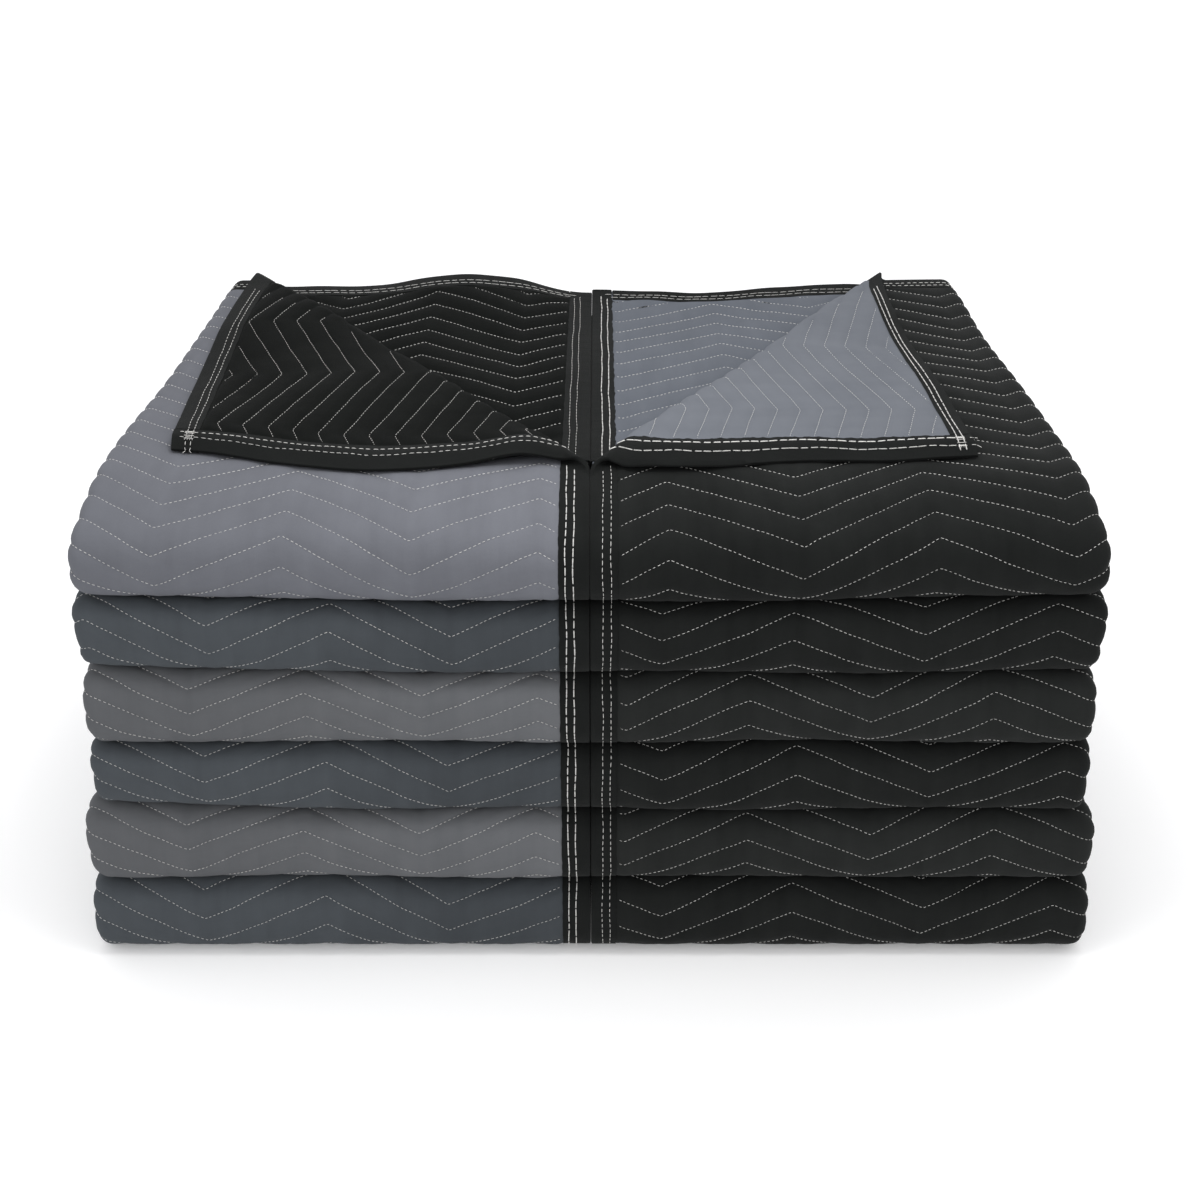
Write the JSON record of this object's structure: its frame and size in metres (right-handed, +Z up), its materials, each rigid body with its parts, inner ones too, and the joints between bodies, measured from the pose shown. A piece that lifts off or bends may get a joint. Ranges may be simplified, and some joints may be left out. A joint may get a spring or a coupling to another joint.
{
  "type": "stack of moving blankets",
  "caption": "Folded quilted moving blankets with bound edges, stacked in two columns, top corners turned back.",
  "frame": {"origin": "centre of the stack's foot, on the surface it rests on", "axes": "+X across both columns, from the grey one to the black one; +Y from the folded fronts to the back; +Z up"},
  "size_m": [1.0872, 0.6542, 0.5533],
  "materials": {
    "grey_quilt": "matt",
    "black_quilt": "matt",
    "binding_tape": "matt"
  },
  "bodies": {
    "root": {"blanket_left_1": "grey_quilt", "side_binding_left_1": "binding_tape", "blanket_left_2": "grey_quilt", "side_binding_left_2": "binding_tape", "blanket_left_3": "grey_quilt", "side_binding_left_3": "binding_tape", "blanket_left_4": "grey_quilt", "side_binding_left_4": "binding_tape", "blanket_left_5": "grey_quilt", "side_binding_left_5": "binding_tape", "blanket_left_6": "grey_quilt", "side_binding_left_6": "binding_tape", "end_binding_left_6": "binding_tape", "inner_binding_left_6": "binding_tape", "inner_end_binding_left_6": "binding_tape", "blanket_right_1": "black_quilt", "side_binding_right_1": "binding_tape", "blanket_right_2": "black_quilt", "side_binding_right_2": "binding_tape", "blanket_right_3": "black_quilt", "side_binding_right_3": "binding_tape", "blanket_right_4": "black_quilt", "side_binding_right_4": "binding_tape", "blanket_right_5": "black_quilt", "side_binding_right_5": "binding_tape", "blanket_right_6": "black_quilt", "side_binding_right_6": "binding_tape", "end_binding_right_6": "binding_tape", "inner_binding_right_6": "binding_tape", "inner_end_binding_right_6": "binding_tape"}
  },
  "joints": []
}
